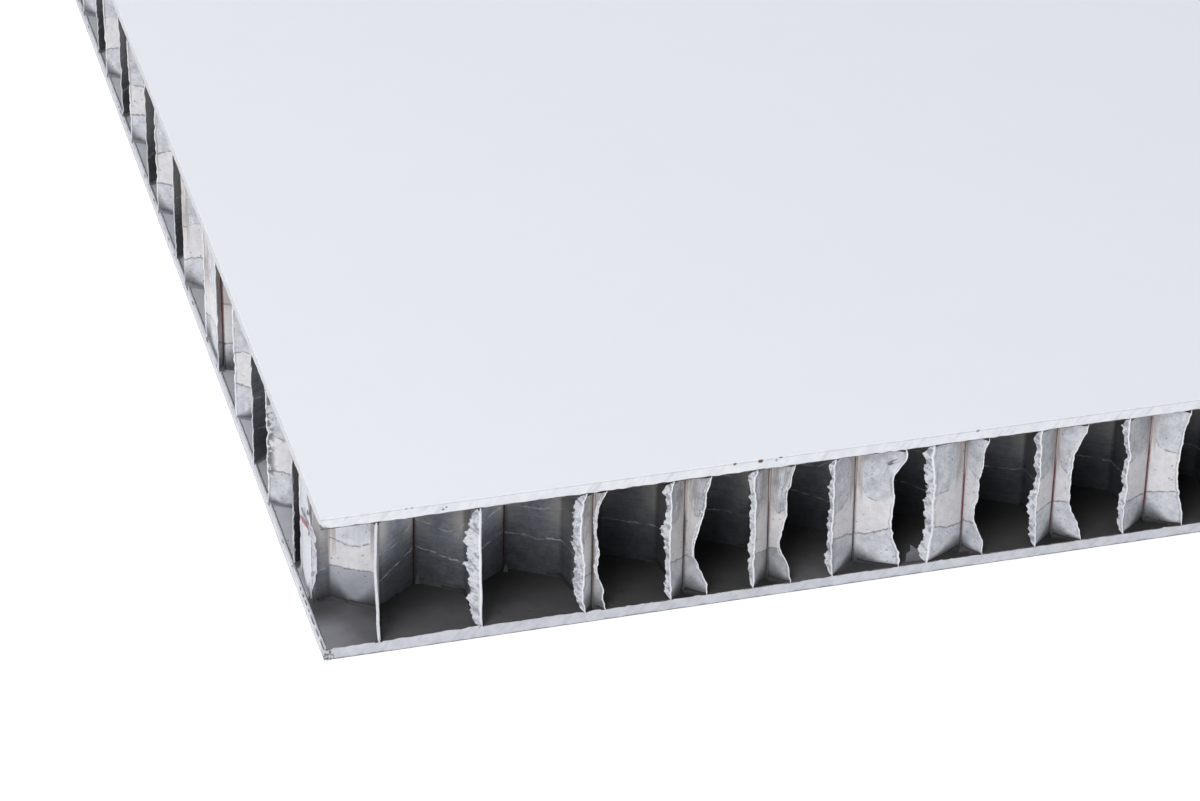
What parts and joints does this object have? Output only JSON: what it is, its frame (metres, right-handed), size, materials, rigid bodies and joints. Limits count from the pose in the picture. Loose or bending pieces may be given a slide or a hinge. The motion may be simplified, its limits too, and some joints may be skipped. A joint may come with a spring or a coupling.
{
  "type": "honeycomb sandwich panel",
  "caption": "Sawn sample of an aluminium honeycomb sandwich panel: two thin face sheets, the upper one coated white, glued over a hexagonal foil core that is open at all cut edges.",
  "frame": {"origin": "middle of the underside of the bottom face sheet", "axes": "+X across the foil ribbons, +Y along them, +Z through the thickness towards the coated sheet"},
  "size_m": [0.15, 0.15, 0.015],
  "materials": {
    "coated_sheet": "smooth white coil coating with a soft gloss, bare sawn metal at the edges",
    "bare_sheet": "mill finish, sawn edges",
    "foil": "thin foil, lightly creased, torn at the cut edges",
    "adhesive_film": "dull grey cured film",
    "node_adhesive": "dull reddish-brown stripes"
  },
  "bodies": {
    "root": {"bottom_adhesive_film": "adhesive_film", "bottom_face_sheet": "bare_sheet", "foil_ribbon_01": "foil", "foil_ribbon_02": "foil", "foil_ribbon_03": "foil", "foil_ribbon_04": "foil", "foil_ribbon_05": "foil", "foil_ribbon_06": "foil", "foil_ribbon_07": "foil", "foil_ribbon_08": "foil", "foil_ribbon_09": "foil", "foil_ribbon_10": "foil", "foil_ribbon_11": "foil", "foil_ribbon_12": "foil", "foil_ribbon_13": "foil", "foil_ribbon_14": "foil", "foil_ribbon_15": "foil", "foil_ribbon_16": "foil", "foil_ribbon_17": "foil", "foil_ribbon_18": "foil", "foil_ribbon_19": "foil", "foil_ribbon_20": "foil", "foil_ribbon_21": "foil", "foil_ribbon_22": "foil", "foil_ribbon_23": "foil", "foil_ribbon_24": "foil", "foil_ribbon_25": "foil", "foil_ribbon_26": "foil", "foil_ribbon_27": "foil", "foil_ribbon_28": "foil", "foil_ribbon_29": "foil", "foil_ribbon_30": "foil", "left_cut_ribbon_1": "foil", "left_cut_ribbon_2": "foil", "left_cut_ribbon_3": "foil", "node_bonds": "node_adhesive", "right_cut_ribbon_1": "foil", "right_cut_ribbon_2": "foil", "right_cut_ribbon_3": "foil", "top_adhesive_film": "adhesive_film", "top_face_sheet": "coated_sheet"}
  },
  "joints": []
}
